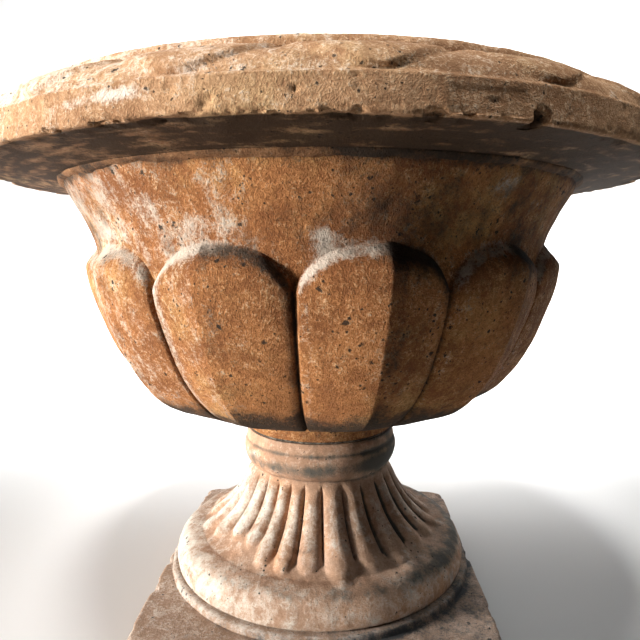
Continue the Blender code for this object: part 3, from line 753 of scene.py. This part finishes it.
RIB_COUNT = 26
RIB_STEPS = 20
RIB_HEIGHT = 0.0068
FOOT_BOTTOM_RADIUS = 0.1475
FOOT_HOLLOW_RADIUS = 0.118
FOOT_HOLLOW_TOP = 0.138
SOCKET_RADIUS = 0.050
SOCKET_FLOOR = 0.155
WEB_HOLE_RADIUS = 0.022
# The front ribs' middles, in degrees
FRONT_RIBS = (-62.8, -48.7, -36.6, -26.2, -14.8, -4.1, 11.1, 26.7, 42.5, 57.0)


def rib_middles():
    """The ribs' middle angles: uneven ones at the front, even ones behind."""
    behind = np.linspace(FRONT_RIBS[-1], FRONT_RIBS[0] + 360.0, RIB_COUNT - len(FRONT_RIBS) + 2)[1:]
    return np.concatenate([FRONT_RIBS, behind])


def foot_profile():
    """The foot's outer outline, down from the collar's top, before ribs and wear."""
    crease, collar_bottom = (0.0763, 0.1705), (0.070, COLLAR_BOTTOM)
    top, rib_end = (COLLAR_TOP_RADIUS, COLLAR_TOP), (0.122, RIB_END_HEIGHT)
    bottom = (FOOT_BOTTOM_RADIUS, FOOT_BOTTOM)
    return np.concatenate([
        [top],
        curve(top, (0.0755, 0.178), (0.0768, 0.174), crease, 9),
        curve(crease, (0.0806, 0.166), (0.0800, 0.150), collar_bottom, 26),
        curve(collar_bottom, (0.077, 0.120), (0.094, 0.088), rib_end, 50),
        curve(rib_end, (0.138, 0.075), (0.1520, 0.067), bottom, 30)])


def make_foot():
    """The foot: collar, ribbed trumpet and round shoulder, hollow underneath."""
    middles = rib_middles()
    phase = np.arange(RIB_COUNT * RIB_STEPS) / RIB_STEPS
    angle = np.interp(phase, np.arange(RIB_COUNT + 1), middles)
    profile = foot_profile()
    outlines = turned_outlines(angle, profile)
    height = outlines[..., 1].copy()
    turn = angle[:, None] + 0 * height
    points = swept(angle, outlines)

    wave = np.abs(np.cos(math.pi * phase))[:, None]
    number = np.round(phase).astype(int) % RIB_COUNT
    strength = rng.uniform(0.85, 1.10, RIB_COUNT)[number][:, None]
    raised = rng.uniform(-0.0025, 0.0025, RIB_COUNT)
    raised[:3] = (0.004, 0.010, 0.009)  # the first ribs on the left end higher up
    end = RIB_END_HEIGHT + raised[number][:, None] + 0.009 * (1 - wave ** 0.5)
    in_ribs = smooth(COLLAR_BOTTOM - 0.001, COLLAR_BOTTOM - 0.014, height)
    in_ribs = in_ribs * smooth(end - 0.001, end + 0.0045, height)
    sunk = 0.60 - 0.24 * smooth(0.108, 0.086, height)
    lift = RIB_HEIGHT * strength * (wave ** 0.45 - sunk) * in_ribs
    step = smooth(RIB_END_HEIGHT + 0.02, RIB_END_HEIGHT - 0.003, height)
    lift = lift + 0.0016 * step * bump(height, RIB_END_HEIGHT - 0.003, 0.006)
    worn = 0.0011 * noise(points, 0.09, 2) + 0.0006 * noise(points, 0.022, 3, 5.0)
    settle = smooth(COLLAR_TOP, COLLAR_TOP - 0.005, height)
    settle = settle * smooth(FOOT_BOTTOM, FOOT_BOTTOM + 0.006, height)
    outlines = outlines + outward(outlines) * (lift + worn * settle)[..., None]

    groove = in_ribs * (1 - wave ** 0.5)
    crest = in_ribs * smooth(0.35, 0.95, wave)
    on_collar = smooth(COLLAR_BOTTOM - 0.002, COLLAR_BOTTOM + 0.004, height)
    collar_edge, collar_belly = bump(height, COLLAR_BOTTOM, 0.0026), bump(height, 0.157, 0.008)
    collar_crease = bump(height, 0.1703, 0.0024)
    collar_rim = smooth(COLLAR_TOP - 0.003, COLLAR_TOP, height)
    rib_ends = bump(height, RIB_END_HEIGHT - 0.004, 0.0045)
    above_rib_ends = bump(height, RIB_END_HEIGHT + 0.009, 0.007)
    on_shoulder = smooth(RIB_END_HEIGHT + 0.004, RIB_END_HEIGHT - 0.004, height)
    bleached_and_lit = lit_side_bleaching(turn, 55)
    right = smooth(10, 60, apart(turn, 0)) * smooth(180, 110, apart(turn, 0))
    # Painted shade in the grooves between ribs, stronger on the right side, away from the key light
    soot_and_shade = (0.42 + 0.50 * right) * smooth(0.25, 0.75, groove)
    # Painted shade under the collar's lower roll, and the collar's top edge darker at its joint
    soot_and_shade = soot_and_shade + 0.36 * collar_edge + 0.30 * collar_rim
    # The collar's lower roll weathered darker, and painted shade in the crease between its rolls;
    # the whole collar a little darker
    soot_and_shade = soot_and_shade + (0.52 - 0.14 * bleached_and_lit) * collar_belly + 0.44 * collar_crease + 0.14 * on_collar
    # Grey-green dirt on the shelf under the rib ends, painted shade over the foot's right side,
    # less on the key-lit side
    soot_and_shade = soot_and_shade + 0.42 * rib_ends * (1 - 0.3 * bleached_and_lit) + 0.26 * right - 0.06 * bleached_and_lit
    soot_and_shade = soot_and_shade + 0.40 * smooth(FOOT_BOTTOM + 0.004, FOOT_BOTTOM, height)
    # Painted highlight along the rib crests on the trumpet
    bloom_and_highlight = 0.22 * crest * smooth(COLLAR_BOTTOM, COLLAR_BOTTOM - 0.03, height)
    bloom_and_highlight = bloom_and_highlight + 0.30 * bump(height, 0.162, 0.005) - 0.50 * bump(height, 0.1745, 0.004)
    bloom_and_highlight = bloom_and_highlight + 0.34 * on_shoulder + 0.30 * bleached_and_lit + 0.06 - 0.16 * on_collar
    bloom_and_highlight = bloom_and_highlight + in_ribs * (0.17 + 0.08 * bleached_and_lit - 0.20 * above_rib_ends)

    bottom, hollow = (FOOT_BOTTOM_RADIUS, FOOT_BOTTOM), (FOOT_HOLLOW_RADIUS, FOOT_BOTTOM)
    inner = np.concatenate([
        curve(bottom, (0.146, FOOT_BOTTOM), (0.13, FOOT_BOTTOM), hollow, 3),
        curve(hollow, (0.108, 0.062), (0.066, 0.075), (0.045, FOOT_HOLLOW_TOP), 10),
        [(WEB_HOLE_RADIUS, FOOT_HOLLOW_TOP), (WEB_HOLE_RADIUS, SOCKET_FLOOR),
         (SOCKET_RADIUS, SOCKET_FLOOR), (SOCKET_RADIUS, COLLAR_TOP)]])
    outlines = np.concatenate([outlines, turned_outlines(angle, inner)], axis=1)
    pad = ((0, 0), (0, len(inner)))
    stains = {"soot_and_shade": np.pad(soot_and_shade, pad, constant_values=0.3), "bloom_and_highlight": np.pad(bloom_and_highlight, pad)}
    ring("urn_foot", swept(angle, outlines), FOOT_CLAY, ["foot"], stains)


# Mortar beds and plinth

def make_mortar(name, replaced, low, high, inner, outer, dirt_and_shade):
    """A thin bed of lime mortar with a slightly rough outer edge."""
    steps, rounding = 480, 0.0004
    angle = np.arange(steps) * 360.0 / steps
    edge = [(outer - rounding, high), (outer, high - rounding), (outer, (low + high) / 2),
            (outer, low + rounding), (outer - rounding, low)]
    outlines = turned_outlines(angle, edge + [(inner, low), (inner, high)])
    rough = 0.0007 * noise(swept(angle, outlines), 0.008, 3)
    outlines[:, :len(edge), 0] += rough[:, :len(edge)]
    stains = {"soot_and_shade": dirt_and_shade, "bloom_and_highlight": 0.1}
    ring(name, swept(angle, outlines), MORTAR, [replaced], stains)


def make_mortar_beds():
    make_mortar("urn_base_mortar", "base_mortar_bed",
                SEAT_TOP + GAP, FOOT_BOTTOM - GAP, inner=0.121, outer=0.1452, dirt_and_shade=0.30)
    make_mortar("urn_neck_mortar", "neck_mortar_bed",
                COLLAR_TOP + GAP, NECK_BOTTOM - GAP, inner=0.052, outer=0.0733, dirt_and_shade=0.62)


def make_plinth():
    """The square slab with its round seat, its rod hole and the anchor's recess underneath."""
    steps, half, squareness, chamfer = 640, PLINTH_WIDTH / 2, 60, 0.0026
    angle = np.arange(steps) * 360.0 / steps
    turn = np.radians(angle)
    reach = np.abs(np.sin(turn)) ** squareness + np.abs(np.cos(turn)) ** squareness
    reach = (reach ** (-1 / squareness))[:, None]
    edge = half * reach

    def circle(radius, height):
        return np.stack([0 * edge + radius, 0 * edge + height], -1)

    def square(inset, height):
        return circle(edge - inset * reach, height)

    columns = [circle(ROD_HOLE_RADIUS, ANCHOR_RECESS_DEPTH), circle(ROD_HOLE_RADIUS, SEAT_TOP)]
    columns += [circle(radius, SEAT_TOP)
                for radius in (0.05, 0.09, 0.12, 0.135, 0.143, 0.148, 0.1515)]
    columns += [circle(0.1528, SEAT_TOP - 0.0006), circle(SEAT_RADIUS, SEAT_TOP - 0.0018),
                circle(SEAT_RADIUS + 0.0003, PLINTH_HEIGHT + 0.0012),
                circle(SEAT_RADIUS + 0.0008, PLINTH_HEIGHT)]
    start = SEAT_RADIUS + 0.0010
    columns += [circle(start + (edge - chamfer * reach - start) * share, PLINTH_HEIGHT)
                for share in np.linspace(0, 1, 28)[1:]]
    columns += [square(0.0012, PLINTH_HEIGHT - 0.0004), square(0.0004, PLINTH_HEIGHT - 0.0012)]
    columns += [square(0.0, height) for height in np.linspace(PLINTH_HEIGHT - chamfer, 0.0015, 22)]
    columns += [square(0.0004, 0.0005), square(0.0015, 0.0)]
    columns += [circle(0.12, 0.0), circle(0.06, 0.0), circle(ANCHOR_RECESS_RADIUS, 0.0),
                circle(ANCHOR_RECESS_RADIUS, ANCHOR_RECESS_DEPTH)]
    outlines = np.concatenate(columns, axis=1)
    height, radius = outlines[..., 1], outlines[..., 0]
    points = swept(angle, outlines)

    shown = smooth(0.146, 0.151, radius) * smooth(0.0, 0.004, height)
    near_edge = bump(radius, edge, 0.006) * bump(height, PLINTH_HEIGHT, 0.006)
    corner = smooth(half * 1.30, half * 1.41, radius) * near_edge
    knocks = 0.0045 * np.maximum(noise(points, 0.022, 3, 2.0) - 0.05, 0) * near_edge
    drop = 0.0007 * noise(points, 0.05, 3) - knocks - 0.002 * corner
    points[..., 2] += shown * smooth(0.02, 0.035, height) * drop
    push = shown * (knocks + 0.0020 * corner + 0.0006 * noise(points, 0.03, 2, 7.0))
    points[..., :2] *= (1 - push / radius)[..., None]
    left = smooth(40, -60, apart(angle[:, None], 0)) * smooth(-190, -120, apart(angle[:, None], 0))
    limed_edge = bump(radius, SEAT_RADIUS - 0.002, 0.0025) * (height > PLINTH_HEIGHT)
    # Painted shade over all but the plinth's left side, which faces the key light; that side is
    # painted paler as highlight in the next line
    soot_and_shade = 0.25 * bump(radius, SEAT_RADIUS + 0.002, 0.003) + 14 * knocks + 0.46 * (1 - left)
    stains = {"soot_and_shade": soot_and_shade, "bloom_and_highlight": 0.15 + 0.25 * left + 0.35 * limed_edge}
    ring("urn_plinth", points, PLINTH_CLAY, ["plinth"], stains)


def dress_ironwork():
    """New materials for the CAD's own ironwork and seal, whose meshes stay as they are."""
    iron, seal = ironwork(), rubber()
    for node in ("tie_rod", "bowl_plate_washer", "bowl_nut", "anchor_plate", "anchor_washer",
                 "anchor_nut", "bowl_seal_washer"):
        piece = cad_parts[node]
        piece.data.materials.clear()
        piece.data.materials.append(seal if node == "bowl_seal_washer" else iron)


# Stage, camera and light

CAMERA_HEIGHT = 0.355
CAMERA_DISTANCE = 0.583
CAMERA_TURN = math.radians(2.0)
CAMERA_PITCH = math.radians(6.47)
CAMERA_LENS = 32.0
CAMERA_SENSOR = 36.0


def make_stage():
    """A pale floor that curves up into a pale backdrop behind the urn."""
    half_width, bend_start, bend, top = 5.0, 1.9, 0.9, 3.5
    across = np.linspace(-half_width, half_width, 3)
    run = [(-half_width, 0.0), (-1.0, 0.0), (1.2, 0.0)]
    run += [(bend_start + bend * math.sin(t), bend - bend * math.cos(t))
            for t in np.linspace(0, math.pi / 2, 16)]
    run += [(bend_start + bend, top)]
    points = [(x, y, z) for y, z in run for x in across]
    faces = []
    for row in range(len(run) - 1):
        for column in range(len(across) - 1):
            start = row * len(across) + column
            faces.append((start, start + 1, start + 1 + len(across), start + len(across)))
    mesh = bpy.data.meshes.new("stage_floor")
    mesh.from_pydata(points, [], faces)
    mesh.shade_smooth()
    g = Graph("stage_paper")
    g.put(g.shader.inputs["Base Color"], (0.66, 0.66, 0.655))
    g.put(g.shader.inputs["Roughness"], 0.95)
    mesh.materials.append(g.material)
    floor = bpy.data.objects.new("stage_floor", mesh)
    bpy.context.scene.collection.objects.link(floor)


def make_camera():
    data = bpy.data.cameras.new("camera")
    data.sensor_width = CAMERA_SENSOR
    data.lens = CAMERA_LENS
    data.clip_start = 0.02
    camera = bpy.data.objects.new("camera", data)
    camera.location = (CAMERA_DISTANCE * math.sin(CAMERA_TURN),
                       -CAMERA_DISTANCE * math.cos(CAMERA_TURN), CAMERA_HEIGHT)
    camera.rotation_euler = (math.pi / 2 - CAMERA_PITCH, 0, CAMERA_TURN)
    bpy.context.scene.collection.objects.link(camera)
    bpy.context.scene.camera = camera


def area_light(name, azimuth, elevation, distance, target, size, power, colour, spread):
    """A square lamp seen from its target at an angle around the axis and above the horizon."""
    data = bpy.data.lights.new(name, "AREA")
    data.size = size
    data.energy = power
    data.color = colour
    data.spread = math.radians(spread)
    lamp = bpy.data.objects.new(name, data)
    turn, lift = math.radians(azimuth), math.radians(elevation)
    away = np.array([math.sin(turn) * math.cos(lift), -math.cos(turn) * math.cos(lift),
                     math.sin(lift)])
    lamp.location = np.array(target) + away * distance
    lamp.rotation_euler = (math.pi / 2 - lift, 0, turn)
    bpy.context.scene.collection.objects.link(lamp)


def make_lights():
    area_light("key", azimuth=-68, elevation=2.3, distance=2.6, target=(0, 0, 0.40),
               size=0.42, power=13.8, colour=(1.0, 0.97, 0.93), spread=50)
    area_light("high_front", azimuth=-20, elevation=75, distance=1.4, target=(0, 0, 0.42),
               size=0.5, power=2.0, colour=(0.99, 0.98, 0.97), spread=25)
    area_light("high_right", azimuth=45, elevation=58, distance=1.6, target=(0, 0, 0.36),
               size=0.6, power=0.30, colour=(0.86, 0.95, 1.0), spread=30)
    area_light("backdrop", azimuth=0, elevation=40, distance=1.9, target=(0, 2.5, 0.6),
               size=1.8, power=215.0, colour=(1.0, 1.0, 1.0), spread=150)
    world = bpy.data.worlds.new("world")
    world.use_nodes = True
    background = world.node_tree.nodes["Background"]
    background.inputs["Color"].default_value = (0.92, 0.95, 1.0, 1.0)
    background.inputs["Strength"].default_value = 0.015
    bpy.context.scene.world = world
    bpy.context.scene.view_settings.view_transform = "Standard"


make_bowl()
make_rim()
make_rim_joint()
make_foot()
make_mortar_beds()
make_plinth()
dress_ironwork()
make_stage()
make_camera()
make_lights()
